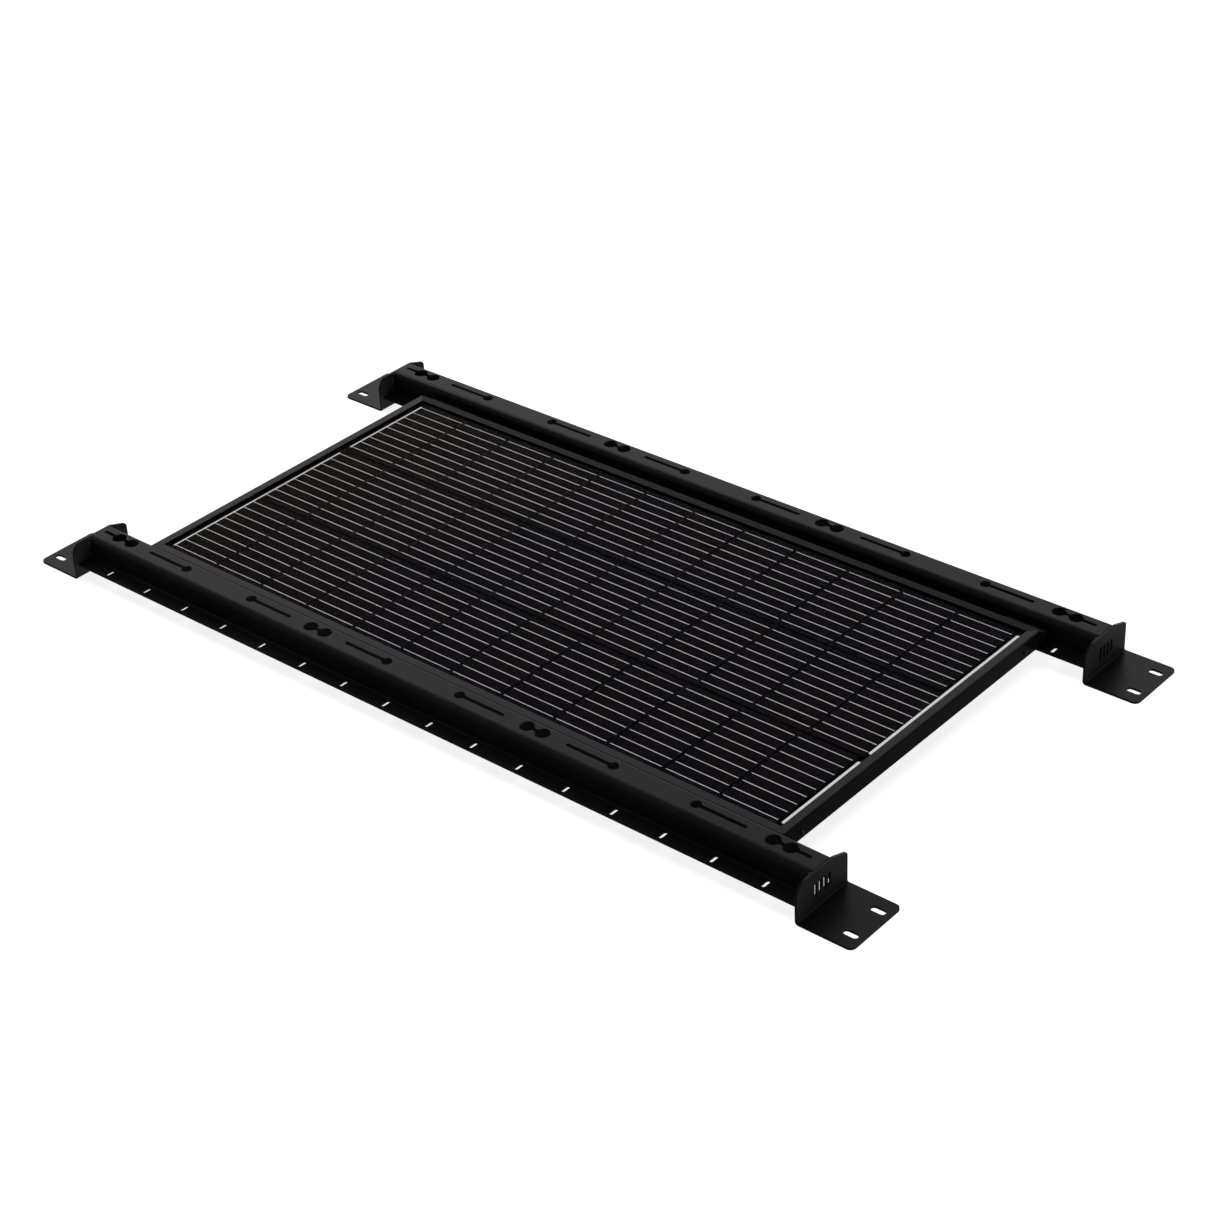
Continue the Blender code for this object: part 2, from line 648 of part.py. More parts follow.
def make_spacer(name, along, surface):
    """Make a block that fills the gap between the panel and the far rail."""
    near = PANEL_Y + PANEL_WIDTH / 2 + GAP
    far = RAIL_Y - RAIL_HALF_WIDTH - GAP
    low = FRAME_BASE
    outline = [(near + SPACER_CHAMFER, low), (far - SPACER_CHAMFER, low)]
    outline += [(far, low + SPACER_CHAMFER), (far, SPACER_LOW_TOP)]
    outline += [(near + SPACER_CHAMFER, SPACER_TOP), (near, SPACER_TOP - SPACER_CHAMFER)]
    outline += [(near, low + SPACER_CHAMFER)]
    block = prism(name, outline, along - SPACER_LENGTH / 2, along + SPACER_LENGTH / 2,
                  "X", surface)
    holes = bmesh.new()
    ring = arc((along, FRAME_BASE + BOLT_HEIGHT), BOLT_HOLE_RADIUS, 0, 330, 11)
    add_prism(holes, ring, near - 5.0, far + 5.0, "Y")
    cut(block, holes)


def make_bolt(name, along, head_face, tip, direction, surface):
    """Make a hex bolt along Y; its head bears on head_face."""
    length = abs(tip - head_face)
    profile = [(-GAP - HEAD_HEIGHT, HEX_APOTHEM, "hex"), (-GAP, HEX_APOTHEM, "hex"),
               (-GAP, BOLT_RADIUS, "round"), (length, BOLT_RADIUS, "round")]
    mesh = bmesh.new()
    add_turned(mesh, profile)
    bolt = finish(name, mesh, surface, smooth=True)
    place(bolt, along, head_face, FRAME_BASE + BOLT_HEIGHT, 90 * direction)


def make_nut(name, along, face, direction, surface):
    """Make a hex nut along Y that bears on the given face."""
    profile = [(GAP, BOLT_HOLE_RADIUS, "round"), (GAP, HEX_APOTHEM, "hex"),
               (GAP + NUT_HEIGHT, HEX_APOTHEM, "hex"),
               (GAP + NUT_HEIGHT, BOLT_HOLE_RADIUS, "round")]
    mesh = bmesh.new()
    add_turned(mesh, profile, closed=True)
    nut = finish(name, mesh, surface, smooth=True)
    place(nut, along, face, FRAME_BASE + BOLT_HEIGHT, 90 * direction)


def make_fixings(bolt_places, surfaces):
    """Make the spacers, bolts and nuts that hold the panel to the rails."""
    near_wall = -RAIL_Y + RAIL_HALF_WIDTH - RAIL_SHEET
    far_wall = RAIL_Y - RAIL_HALF_WIDTH + RAIL_SHEET
    near_nut = PANEL_Y - PANEL_WIDTH / 2 + FRAME_WALL
    far_nut = PANEL_Y + PANEL_WIDTH / 2 - FRAME_WALL
    for label, along in zip(("left", "right"), bolt_places):
        make_spacer("spacer_" + label, along, surfaces["spacer"])
        make_bolt("bolt_near_" + label, along, near_wall, near_nut + BOLT_TIP, 1,
                  surfaces["fastener"])
        make_nut("nut_near_" + label, along, near_nut, 1, surfaces["fastener"])
        make_bolt("bolt_far_" + label, along, far_wall, far_nut - BOLT_TIP, -1,
                  surfaces["fastener"])
        make_nut("nut_far_" + label, along, far_nut, -1, surfaces["fastener"])


# ---------------------------------------------------------------- junction box

def box_outline(inset):
    """Return the junction box's plan, set in from its outer walls."""
    half_x = BOX_LENGTH / 2 - inset
    half_y = BOX_WIDTH / 2 - inset
    return rounded_rectangle((-half_x, -half_y), (half_x, half_y), BOX_CORNER - inset, 3)


def make_junction_box(ceiling, surfaces):
    """Make the box, its seal and lid, and what it holds."""
    top = ceiling - GAP
    box = prism("junction_box_body", box_outline(0.0), BOX_LOW, top, "Z",
                surfaces["box"], smooth=True)
    inside = bmesh.new()
    add_prism(inside, box_outline(BOX_WALL), BOX_LOW - 2.0, top - BOX_WALL, "Z")
    cut(box, inside)
    entries = bmesh.new()
    for across in (-GLAND_HALF_SPACING, GLAND_HALF_SPACING):
        ring = arc((across, GLAND_HEIGHT), GLAND_THREAD + GAP, 0, 330, 11)
        wall = -BOX_LENGTH / 2
        add_prism(entries, ring, wall - 2.0, wall + BOX_WALL + 2.0, "X")
    cut(box, entries)
    place(box, BOX_X, PANEL_Y)

    seal_top = BOX_LOW - GAP
    seal_low = seal_top - BOX_SEAL
    seal = prism("junction_box_seal", box_outline(0.3), seal_low, seal_top, "Z",
                 surfaces["seal"], smooth=True)
    window = bmesh.new()
    add_prism(window, box_outline(BOX_WALL), seal_low - 1.0, seal_top + 1.0, "Z")
    cut(seal, window)
    place(seal, BOX_X, PANEL_Y)

    lid_top = seal_low - GAP
    lid = prism("junction_box_lid", box_outline(0.0), lid_top - LID_SHEET, lid_top, "Z",
                surfaces["box"], smooth=True)
    rim = bmesh.new()
    rim_inset = BOX_WALL + 2 * GAP
    add_prism(rim, box_outline(rim_inset), lid_top - 0.5, lid_top + LID_RIM, "Z")
    cut(lid, rim, "UNION")
    hollow = bmesh.new()
    add_prism(hollow, box_outline(rim_inset + 1.5), lid_top, lid_top + LID_RIM + 1.0, "Z")
    cut(lid, hollow)
    place(lid, BOX_X, PANEL_Y)

    roof = top - BOX_WALL - GAP
    corner = (TERMINAL_HALF_WIDTH, TERMINAL_HALF_LENGTH)
    outline = rounded_rectangle((-corner[0], -corner[1]), corner, 1.5, 1)
    block = prism("terminal_block", outline, roof - TERMINAL_HEIGHT, roof, "Z",
                  surfaces["terminal"])
    place(block, BOX_X, PANEL_Y)
    for number, across in enumerate(DIODE_PLACES, start=1):
        mesh = bmesh.new()
        profile = [(-DIODE_HALF_LENGTH, DIODE_LEAD_RADIUS, "round"),
                   (-DIODE_HALF_BODY, DIODE_LEAD_RADIUS, "round"),
                   (-DIODE_HALF_BODY, DIODE_RADIUS, "round"),
                   (DIODE_HALF_BODY, DIODE_RADIUS, "round"),
                   (DIODE_HALF_BODY, DIODE_LEAD_RADIUS, "round"),
                   (DIODE_HALF_LENGTH, DIODE_LEAD_RADIUS, "round")]
        add_turned(mesh, profile)
        diode = finish("bypass_diode_" + str(number), mesh, surfaces["diode"], smooth=True)
        place(diode, BOX_X + DIODE_SETBACK, PANEL_Y + across, roof - DIODE_DROP)

    wall = BOX_X - BOX_LENGTH / 2
    for label, across in (("a", -GLAND_HALF_SPACING), ("b", GLAND_HALF_SPACING)):
        mesh = bmesh.new()
        profile = [(-GAP, GLAND_THREAD, "round"), (-GAP, GLAND_RADIUS, "hex"),
                   (-GLAND_HEX_LENGTH, GLAND_RADIUS, "hex"),
                   (-GLAND_HEX_LENGTH, GLAND_CAP_RADIUS, "round"),
                   (2.0 - GLAND_CAP_LENGTH, GLAND_CAP_RADIUS - 1.0, "round"),
                   (-GLAND_CAP_LENGTH, GLAND_TIP_RADIUS, "round"),
                   (-GLAND_CAP_LENGTH, GLAND_BORE, "round"),
                   (GLAND_THREAD_LENGTH, GLAND_BORE, "round"),
                   (GLAND_THREAD_LENGTH, GLAND_THREAD, "round")]
        add_turned(mesh, profile, closed=True)
        gland = finish("cable_gland_" + label, mesh, surfaces["box"], smooth=True)
        place(gland, wall, PANEL_Y + across, GLAND_HEIGHT)
        mesh = bmesh.new()
        nut_radius = GLAND_RADIUS - 0.8
        profile = [(0.0, GLAND_THREAD + GAP, "round"), (0.0, nut_radius, "hex"),
                   (GLAND_NUT_LENGTH, nut_radius, "hex"),
                   (GLAND_NUT_LENGTH, GLAND_THREAD + GAP, "round")]
        add_turned(mesh, profile, closed=True)
        nut = finish("gland_nut_" + label, mesh, surfaces["box"], smooth=True)
        place(nut, wall + BOX_WALL + GAP, PANEL_Y + across, GLAND_HEIGHT)


def main():
    """Build the whole assembly."""
    clear_scene()
    black_coat = material("black_powder_coat", (0.035, 0.035, 0.037), 0.5)
    surfaces = {
        "seal": material("black_seal", (0.02, 0.02, 0.02), 0.7),
        "glass": material("clear_glass", (0.6, 0.65, 0.7), 0.1),
        "encapsulant": material("clear_encapsulant", (0.7, 0.7, 0.7), 0.3),
        "cell": material("silicon_cell", (0.03, 0.025, 0.045), 0.35),
        "ribbon": material("tinned_copper", (0.8, 0.8, 0.78), 0.3, 0.9),
        "backsheet": material("black_backsheet", (0.02, 0.02, 0.025), 0.6),
        "spacer": material("black_plastic", (0.04, 0.04, 0.04), 0.6),
        "fastener": material("dark_steel", (0.2, 0.2, 0.2), 0.35, 0.9),
        "box": material("box_plastic", (0.03, 0.03, 0.03), 0.55),
        "terminal": material("terminal_plastic", (0.25, 0.25, 0.25), 0.6),
        "diode": material("diode_body", (0.05, 0.05, 0.05), 0.4),
    }
    anodised = material("black_anodised_frame", (0.05, 0.05, 0.052), 0.45, 0.6)
    key_metal = material("plain_aluminium", (0.6, 0.6, 0.6), 0.4, 0.9)

    reach = PANEL_LENGTH / 2 - SPACER_END_INSET - SPACER_LENGTH / 2
    bolt_places = (PANEL_X - reach, PANEL_X + reach)
    make_rail("rail_near", -RAIL_Y, bolt_places, 1, black_coat)
    make_rail("rail_far", RAIL_Y, bolt_places, -1, black_coat)
    for row, centre in (("near", -RAIL_Y), ("far", RAIL_Y)):
        make_bracket("bracket_" + row + "_left", centre, -1, black_coat)
        make_bracket("bracket_" + row + "_right", centre, 1, black_coat)
    make_frame(bolt_places, anodised)
    for end_name, end in (("left", -1), ("right", 1)):
        for side_name, side in (("near", -1), ("far", 1)):
            make_corner(side_name + "_" + end_name, end, side, key_metal,
                        surfaces["fastener"])
    ceiling = make_laminate(surfaces)
    make_fixings(bolt_places, surfaces)
    make_junction_box(ceiling, surfaces)


main()
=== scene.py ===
"""Looks of the framed solar panel on its two slotted rails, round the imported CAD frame."""
import json
import math

import bmesh
import bpy
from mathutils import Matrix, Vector


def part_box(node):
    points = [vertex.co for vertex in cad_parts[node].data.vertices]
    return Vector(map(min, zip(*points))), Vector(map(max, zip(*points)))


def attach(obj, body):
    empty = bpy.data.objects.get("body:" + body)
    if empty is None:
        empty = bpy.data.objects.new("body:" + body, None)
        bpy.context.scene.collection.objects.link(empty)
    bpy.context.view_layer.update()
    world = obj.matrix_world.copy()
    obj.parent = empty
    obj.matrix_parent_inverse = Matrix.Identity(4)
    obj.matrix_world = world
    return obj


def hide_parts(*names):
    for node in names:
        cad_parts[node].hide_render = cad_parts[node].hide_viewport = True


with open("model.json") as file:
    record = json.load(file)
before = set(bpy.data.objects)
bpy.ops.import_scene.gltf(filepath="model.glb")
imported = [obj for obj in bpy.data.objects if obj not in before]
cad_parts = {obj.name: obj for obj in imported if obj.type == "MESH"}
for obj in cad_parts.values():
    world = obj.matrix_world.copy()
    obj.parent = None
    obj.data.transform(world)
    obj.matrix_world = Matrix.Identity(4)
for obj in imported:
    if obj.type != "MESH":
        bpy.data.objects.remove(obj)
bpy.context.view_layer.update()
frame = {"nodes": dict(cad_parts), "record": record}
nodes = frame["nodes"]
scene = bpy.context.scene

# Cells and their wires. All sizes are in metres.
CELL_COUNT = 12
CELL_GAP = 0.0034
CELL_CHAMFER = 0.0016
FINGER_PITCH = 0.0013
WIRE_COUNT = 9
WIRE_PITCH = 0.01815
WIRE_WIDTH = 0.00098
WIRE_HEIGHT = 0.00024
WIRE_SETBACK = 0.0013       # from a cell's edge to the wire's end
WIRE_CLEARANCE = 0.00002
WIRE_STEPS = 4
WIRE_OVER_RIBBON = 0.0006   # how far the first wires reach over the left ribbon
CELL_REAR_GAP = 0.00008

# Weld tacks, placed from a rail's end, its -Y wall and its top.
WELD_SIZE = (0.0018, 0.0014, 0.0021)
WELD_INSET = 0.0012
WELD_WALL_OFFSET = 0.020    # from the rail's middle to its -Y wall
WELD_SPOTS = ((0.0022, 0.0030), (-0.0002, 0.0085), (-0.0004, 0.0135), (-0.0004, 0.0245))

# Rounding of the CAD parts' sharp edges.
BRACKET_EDGE = 0.0005
RAIL_EDGE = 0.0004
FRAME_EDGE = 0.0005
PLASTIC_EDGE = 0.0006
EDGE_SEGMENTS = 2
EDGE_ANGLE = 50.0
MERGE_DISTANCE = 0.00002

FLOOR_HALF_SIZE = 30.0


# ---------------------------------------------------------------- node helpers

class Nodes:
    """A short way to build one material's nodes."""

    def __init__(self, name):
        self.material = bpy.data.materials.new(name)
        self.material.use_nodes = True
        self.tree = self.material.node_tree
        self.tree.nodes.clear()
        self.output = self.tree.nodes.new("ShaderNodeOutputMaterial")

    def add(self, kind, **properties):
        """Add a node and set its properties."""
        node = self.tree.nodes.new(kind)
        for key, value in properties.items():
            setattr(node, key, value)
        return node

    def link(self, source, target):
        """Link one socket to another."""
        self.tree.links.new(source, target)

    def coordinates(self, scale=(1.0, 1.0, 1.0)):
        """Return object coordinates in metres, stretched by a scale."""
        place = self.add("ShaderNodeTexCoord")
        stretch = self.add("ShaderNodeMapping")
        stretch.inputs["Scale"].default_value = scale
        self.link(place.outputs["Object"], stretch.inputs["Vector"])
        return stretch.outputs["Vector"]

    def noise(self, vector, scale, detail=3.0, roughness=0.55):
        """Return a noise value from 0 to 1."""
        node = self.add("ShaderNodeTexNoise")
        node.inputs["Scale"].default_value = scale
        node.inputs["Detail"].default_value = detail
        node.inputs["Roughness"].default_value = roughness
        self.link(vector, node.inputs["Vector"])
        return node.outputs["Fac"]

    def ramp(self, value, low, high, start, end):
        """Map a value's range from low..high to start..end, clamped."""
        node = self.add("ShaderNodeMapRange")
        node.inputs["From Min"].default_value = low
        node.inputs["From Max"].default_value = high
        node.inputs["To Min"].default_value = start
        node.inputs["To Max"].default_value = end
        self.link(value, node.inputs["Value"])
        return node.outputs["Result"]

    def math(self, operation, first, second):
        """Combine two values, either of which may be a number."""
        node = self.add("ShaderNodeMath", operation=operation)
        for socket, value in zip(node.inputs, (first, second)):
            if isinstance(value, (int, float)):
                socket.default_value = value
            else:
                self.link(value, socket)
        return node.outputs["Value"]

    def blend(self, factor, first, second):
        """Blend two colours by a factor."""
        node = self.add("ShaderNodeMix", data_type="RGBA")
        self.link(factor, node.inputs["Factor"])
        sockets = [item for item in node.inputs if item.type == "RGBA"]
        for socket, colour in zip(sockets, (first, second)):
            if isinstance(colour, tuple):
                socket.default_value = (*colour, 1.0)
            else:
                self.link(colour, socket)
        return [item for item in node.outputs if item.type == "RGBA"][0]

    def bump(self, height, distance, normal=None):
        """Return a bumped normal from a height."""
        node = self.add("ShaderNodeBump")
        node.inputs["Distance"].default_value = distance
        node.inputs["Strength"].default_value = 1.0
        self.link(height, node.inputs["Height"])
        if normal is not None:
            self.link(normal, node.inputs["Normal"])
        return node.outputs["Normal"]

    def principled(self, **sockets):
        """Return a Principled shader with its sockets set or linked."""
        node = self.add("ShaderNodeBsdfPrincipled")
        for name, value in sockets.items():
            socket = node.inputs[name.replace("_", " ")]
            if isinstance(value, bpy.types.NodeSocket):
                self.link(value, socket)
            elif isinstance(value, tuple):
                socket.default_value = (*value, 1.0)
            else:
                socket.default_value = value
        return node.outputs["BSDF"]

    def finish(self, shader):
        """Show a shader, and return the material."""
        self.link(shader, self.output.inputs["Surface"])
        return self.material


# ---------------------------------------------------------------- materials

def powder_coat():
    """Black satin powder coat: fine grain over a soft orange peel.

    Faces turned to +X are painted lighter. That stands for the pale floor they mirror,
    because this floor does not show in reflections. It is not a property of the coat.
    """
    n = Nodes("powder_coat")
    place = n.coordinates()
    cloud = n.noise(place, 9.0, 4.0)
    grain = n.noise(place, 1900.0, 2.0, 0.7)
    peel = n.noise(place, 420.0, 1.0)
    dust = n.ramp(n.noise(place, 640.0, 0.0), 0.79, 0.83, 0.0, 0.5)
    shade = n.blend(n.ramp(cloud, 0.3, 0.7, 0.0, 1.0), (0.0024, 0.0023, 0.0024),
                    (0.0036, 0.0035, 0.0036))
    # Faces turned to +X are lighter: a painted reflection of the pale floor.
    facing = n.add("ShaderNodeSeparateXYZ")
    n.link(n.add("ShaderNodeTexCoord").outputs["Normal"], facing.inputs["Vector"])
    painted_reflection_mask = n.ramp(facing.outputs["X"], 0.5, 0.95, 0.0, 1.0)
    with_painted_reflection = n.blend(painted_reflection_mask, shade, (0.0260, 0.0255, 0.0257))
    colour = n.blend(dust, with_painted_reflection, (0.05, 0.048, 0.046))
    roughness = n.ramp(cloud, 0.25, 0.75, 0.31, 0.37)
    normal = n.bump(peel, 0.00006)
    normal = n.bump(grain, 0.00003, normal=normal)
    return n.finish(n.principled(Base_Color=colour, Roughness=roughness, Normal=normal,
                                 Specular_IOR_Level=0.42))


def anodised(name, specular):
    """Black satin anodised aluminium with faint lines along the extrusion."""
    n = Nodes(name)
    place = n.coordinates()
    along_x = n.noise(n.coordinates((3.0, 900.0, 900.0)), 1.0, 2.0)
    fine = n.noise(place, 2600.0, 1.0)
    cloud = n.noise(place, 14.0, 3.0)
    colour = n.blend(cloud, (0.0018, 0.0017, 0.0018), (0.0032, 0.0030, 0.0032))
    streaks = n.math("ADD", n.math("MULTIPLY", along_x, 0.10), 0.26)
    roughness = n.math("ADD", streaks, n.math("MULTIPLY", fine, 0.05))
    normal = n.bump(fine, 0.00001)
    return n.finish(n.principled(Base_Color=colour, Roughness=roughness, Normal=normal,
                                 Specular_IOR_Level=specular))


def bright_metal(name, colour, roughness, streak):
    """Bare metal with drawn lines and a little dulling."""
    n = Nodes(name)
    lines = n.noise(n.coordinates(streak), 1.0, 3.0)
    cloud = n.noise(n.coordinates(), 60.0, 3.0)
    darker = tuple(0.72 * part for part in colour)
    tone = n.blend(n.ramp(cloud, 0.35, 0.7, 0.0, 1.0), colour, darker)
    rough = n.ramp(lines, 0.3, 0.7, roughness - 0.07, roughness + 0.09)
    normal = n.bump(lines, 0.00001)
    return n.finish(n.principled(Base_Color=tone, Roughness=rough, Normal=normal,
                                 Metallic=1.0))


def tinned():
    """Tinned copper: pale, softly uneven solder."""
    n = Nodes("tinned_ribbon")
    place = n.coordinates()
    lumps = n.noise(place, 260.0, 3.0)
    tone = n.blend(n.ramp(lumps, 0.35, 0.75, 0.0, 1.0), (0.97, 0.96, 0.94),
                   (0.80, 0.79, 0.77))
    rough = n.ramp(lumps, 0.3, 0.7, 0.34, 0.5)
    normal = n.bump(lumps, 0.00004)
    return n.finish(n.principled(Base_Color=tone, Roughness=rough, Normal=normal,
                                 Metallic=0.15))


def silicon():
    """Dark cell with fine fingers across it, violet with a slow drift to brown at -X.

    The brown is a painted reflection, set by object X, and not a colour of the cells.
    """
    n = Nodes("silicon")
    place = n.coordinates()
    wave = n.add("ShaderNodeTexWave", wave_type="BANDS", bands_direction="X")
    wave.inputs["Scale"].default_value = 2.0 * math.pi / (20.0 * FINGER_PITCH)
    n.link(place, wave.inputs["Vector"])
    finger = n.ramp(wave.outputs["Fac"], 0.93, 1.0, 0.0, 0.02)
    drift = n.noise(place, 3.2, 2.0)
    flecks = n.noise(place, 620.0, 3.0)
    violet = n.blend(n.ramp(drift, 0.35, 0.65, 0.0, 1.0), (0.0026, 0.0014, 0.0064),
                     (0.0034, 0.0022, 0.0056))
    # Brown towards -X: a painted reflection, set by object X.
    side = n.add("ShaderNodeSeparateXYZ")
    n.link(place, side.inputs["Vector"])
    brown_reflection_along_x = n.math("ADD", side.outputs["X"], n.math("MULTIPLY", drift, -0.25))
    base = n.blend(n.ramp(brown_reflection_along_x, -0.62, -0.25, 0.85, 0.0), violet, (0.0060, 0.0038, 0.0022))
    flecked = n.blend(n.ramp(flecks, 0.45, 0.85, 0.0, 0.3), base, (0.0046, 0.0038, 0.0070))
    colour = n.blend(finger, flecked, (0.20, 0.19, 0.20))
    return n.finish(n.principled(Base_Color=colour, Roughness=0.5,
                                 Specular_IOR_Level=0.05))


def solar_glass():
    """Low-glare glass: clear from above, with a soft warm sheen at low angles.

    Only rays from the camera are bent, so the cells appear at their raised depth while
    light still reaches them.
    """
    n = Nodes("solar_glass")
    place = n.coordinates()
    dimples = n.noise(place, 700.0, 1.0)
    smear = n.noise(place, 5.0, 3.0)
    gloss = n.add("ShaderNodeBsdfGlossy")
    gloss.inputs["Color"].default_value = (1.0, 0.90, 0.82, 1.0)
    n.link(n.ramp(smear, 0.3, 0.7, 0.20, 0.27), gloss.inputs["Roughness"])
    n.link(n.bump(dimples, 0.00002), gloss.inputs["Normal"])
    clear = n.add("ShaderNodeBsdfTransparent")
    clear.inputs["Color"].default_value = (0.95, 0.955, 0.95, 1.0)
    lean = n.add("ShaderNodeLayerWeight")
    lean.inputs["Blend"].default_value = 0.5
    side = n.add("ShaderNodeNewGeometry")
    rise = n.math("POWER", lean.outputs["Facing"], 4.0)
    share = n.math("ADD", n.math("MULTIPLY", rise, 0.11), 0.002)
    front = n.math("SUBTRACT", 1.0, side.outputs["Backfacing"])
    bend = n.add("ShaderNodeBsdfRefraction")
    bend.inputs["IOR"].default_value = 1.5
    bend.inputs["Roughness"].default_value = 0.0
    rays = n.add("ShaderNodeLightPath")
    seen = n.add("ShaderNodeMixShader")
    n.link(n.math("MULTIPLY", rays.outputs["Is Camera Ray"], front), seen.inputs["Fac"])
    n.link(clear.outputs["BSDF"], seen.inputs[1])
    n.link(bend.outputs["BSDF"], seen.inputs[2])
    mix = n.add("ShaderNodeMixShader")
    n.link(n.math("MULTIPLY", share, front), mix.inputs["Fac"])
    n.link(seen.outputs["Shader"], mix.inputs[1])
    n.link(gloss.outputs["BSDF"], mix.inputs[2])
    return n.finish(mix.outputs["Shader"])


def clear_film():
    """Cured clear film with a trace of haze."""
    n = Nodes("clear_film")
    haze = n.noise(n.coordinates(), 40.0, 3.0)
    body = n.principled(Base_Color=(0.02, 0.02, 0.022), Roughness=0.5)
    clear = n.add("ShaderNodeBsdfTransparent")
    clear.inputs["Color"].default_value = (0.985, 0.985, 0.98, 1.0)
    mix = n.add("ShaderNodeMixShader")
    n.link(n.ramp(haze, 0.3, 0.7, 0.0, 0.012), mix.inputs["Fac"])
    n.link(clear.outputs["BSDF"], mix.inputs[1])
    n.link(body, mix.inputs[2])
    return n.finish(mix.outputs["Shader"])


def dull(name, dark, light, roughness, grain, depth, specular=0.4):
    """Moulded plastic, rubber or film: cloudy tone over a fine grain."""
    n = Nodes(name)
    place = n.coordinates()
    cloud = n.noise(place, 35.0, 3.0)
    fine = n.noise(place, grain, 2.0, 0.6)
    colour = n.blend(n.ramp(cloud, 0.3, 0.7, 0.0, 1.0), dark, light)
    rough = n.ramp(fine, 0.3, 0.7, roughness - 0.05, roughness + 0.07)
    normal = n.bump(fine, depth)
    return n.finish(n.principled(Base_Color=colour, Roughness=rough, Normal=normal,
                                 Specular_IOR_Level=specular))


def weld_coat():
    """Thick glossy coat over a weld tack, lighter than the powder coat: the lighter base
    colour is a painted highlight, the gloss is real.
    """
    n = Nodes("weld_coat")
    fine = n.noise(n.coordinates(), 900.0, 2.0)
    # Lighter than the powder coat's black: painted highlight.
    colour = n.blend(fine, (0.02, 0.02, 0.02), (0.05, 0.05, 0.05))
    return n.finish(n.principled(Base_Color=colour, Specular_IOR_Level=0.8,
                                 Roughness=n.ramp(fine, 0.3, 0.7, 0.16, 0.26),
                                 Normal=n.bump(fine, 0.00003)))


def floor_surface():
    """Plain pale floor, mostly self-lit so that its shadows stay faint."""
    n = Nodes("pale_floor")
    faint = n.noise(n.coordinates(), 2.0, 2.0)
    colour = n.blend(faint, (0.32, 0.32, 0.32), (0.34, 0.34, 0.34))
    return n.finish(n.principled(Base_Color=colour, Roughness=0.9,
                                 Specular_IOR_Level=0.0,
                                 Emission_Color=(1.0, 1.0, 1.0), Emission_Strength=0.86))


surfaces = {
    "black_powder_coat": powder_coat(),
    "black_anodised_frame": anodised("anodised", 0.5),
    "plain_aluminium": bright_metal("plain_aluminium", (0.62, 0.62, 0.63), 0.38,
                                    (4.0, 500.0, 500.0)),
    "dark_steel": bright_metal("dark_steel", (0.16, 0.16, 0.165), 0.36,
                               (200.0, 200.0, 200.0)),
    "black_seal": dull("black_seal", (0.006, 0.006, 0.006), (0.011, 0.011, 0.011),
                       0.75, 900.0, 0.00004, 0.2),
    "clear_glass": solar_glass(),
    "clear_encapsulant": clear_film(),
    "silicon_cell": silicon(),
    "tinned_copper": tinned(),
    "black_backsheet": dull("black_backsheet", (0.0075, 0.0075, 0.0090),
                            (0.0115, 0.0115, 0.0130), 0.6, 1300.0, 0.00002, 0.2),
    "black_plastic": dull("black_plastic", (0.003, 0.003, 0.003), (0.016, 0.016, 0.016),
                          0.6, 500.0, 0.0001, 0.15),
    "box_plastic": dull("box_plastic", (0.012, 0.012, 0.012), (0.020, 0.020, 0.020),
                        0.5, 1200.0, 0.00005),
    "terminal_plastic": dull("terminal_plastic", (0.20, 0.20, 0.20), (0.27, 0.27, 0.27),
                             0.5, 1200.0, 0.00004),
    "diode_body": dull("diode_body", (0.018, 0.018, 0.018), (0.03, 0.03, 0.03),
                       0.3, 2000.0, 0.00001),
}


def dress(thing, surface):
    """Give an object one material."""
    thing.data.materials.clear()
    thing.data.materials.append(surface)


slot_of = {row["node"]: row["material_slot"] for row in frame["record"]["subparts"]}
for name, node in nodes.items():
    dress(node, surfaces[slot_of[name]])

# The far member is of the same finish as the others. Its duller copy is painted shade:
# it stands for the far rail shading the light its lip reflects, which looked darker than
# theirs.
dress(nodes["frame_side_far"], anodised("anodised_painted_shade", 0.12))


# ---------------------------------------------------------------- edges of the CAD parts

def soften(name, width):
    """Round a CAD part's sharp edges with modifiers."""
    node = nodes[name]
    weld = node.modifiers.new("weld", "WELD")
    weld.merge_threshold = MERGE_DISTANCE
    bevel = node.modifiers.new("bevel", "BEVEL")
    bevel.width = width
    bevel.segments = EDGE_SEGMENTS
    bevel.limit_method = "ANGLE"
    bevel.angle_limit = math.radians(EDGE_ANGLE)


for name in nodes:
    if name.startswith("bracket_"):
        soften(name, BRACKET_EDGE)
    elif name.startswith("rail_"):
        soften(name, RAIL_EDGE)
    elif name.startswith("frame_") and name != "frame_seal":
        soften(name, FRAME_EDGE)
    elif name.startswith(("spacer_", "junction_box_body", "junction_box_lid")):
        soften(name, PLASTIC_EDGE)


# ---------------------------------------------------------------- new pieces

def add_piece(name, mesh, slot, smooth=False):
    """Turn a bmesh into a piece that rides on the assembly."""
    bmesh.ops.recalc_face_normals(mesh, faces=mesh.faces)
    data = bpy.data.meshes.new(name)
    mesh.to_mesh(data)
    mesh.free()
    if smooth:
        data.shade_smooth()
    piece = bpy.data.objects.new(name, data)
    scene.collection.objects.link(piece)
    dress(piece, surfaces[slot])
    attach(piece, "root")
    return piece


def add_slab(mesh, outline, low, high):
    """Add a closed slab of an outline in XY."""
    rings = [[mesh.verts.new((x, y, z)) for x, y in outline] for z in (low, high)]
    mesh.faces.new(rings[0])
    mesh.faces.new(rings[1])
    count = len(outline)
    for index in range(count):
        after = (index + 1) % count
        mesh.faces.new((rings[0][index], rings[0][after], rings[1][after],
                        rings[1][index]))


def cell_spans(low, high):
    """Return each cell's start and end along X."""
    length = (high.x - low.x - (CELL_COUNT - 1) * CELL_GAP) / CELL_COUNT
    starts = [low.x + index * (length + CELL_GAP) for index in range(CELL_COUNT)]
    return [(start, start + length) for start in starts]


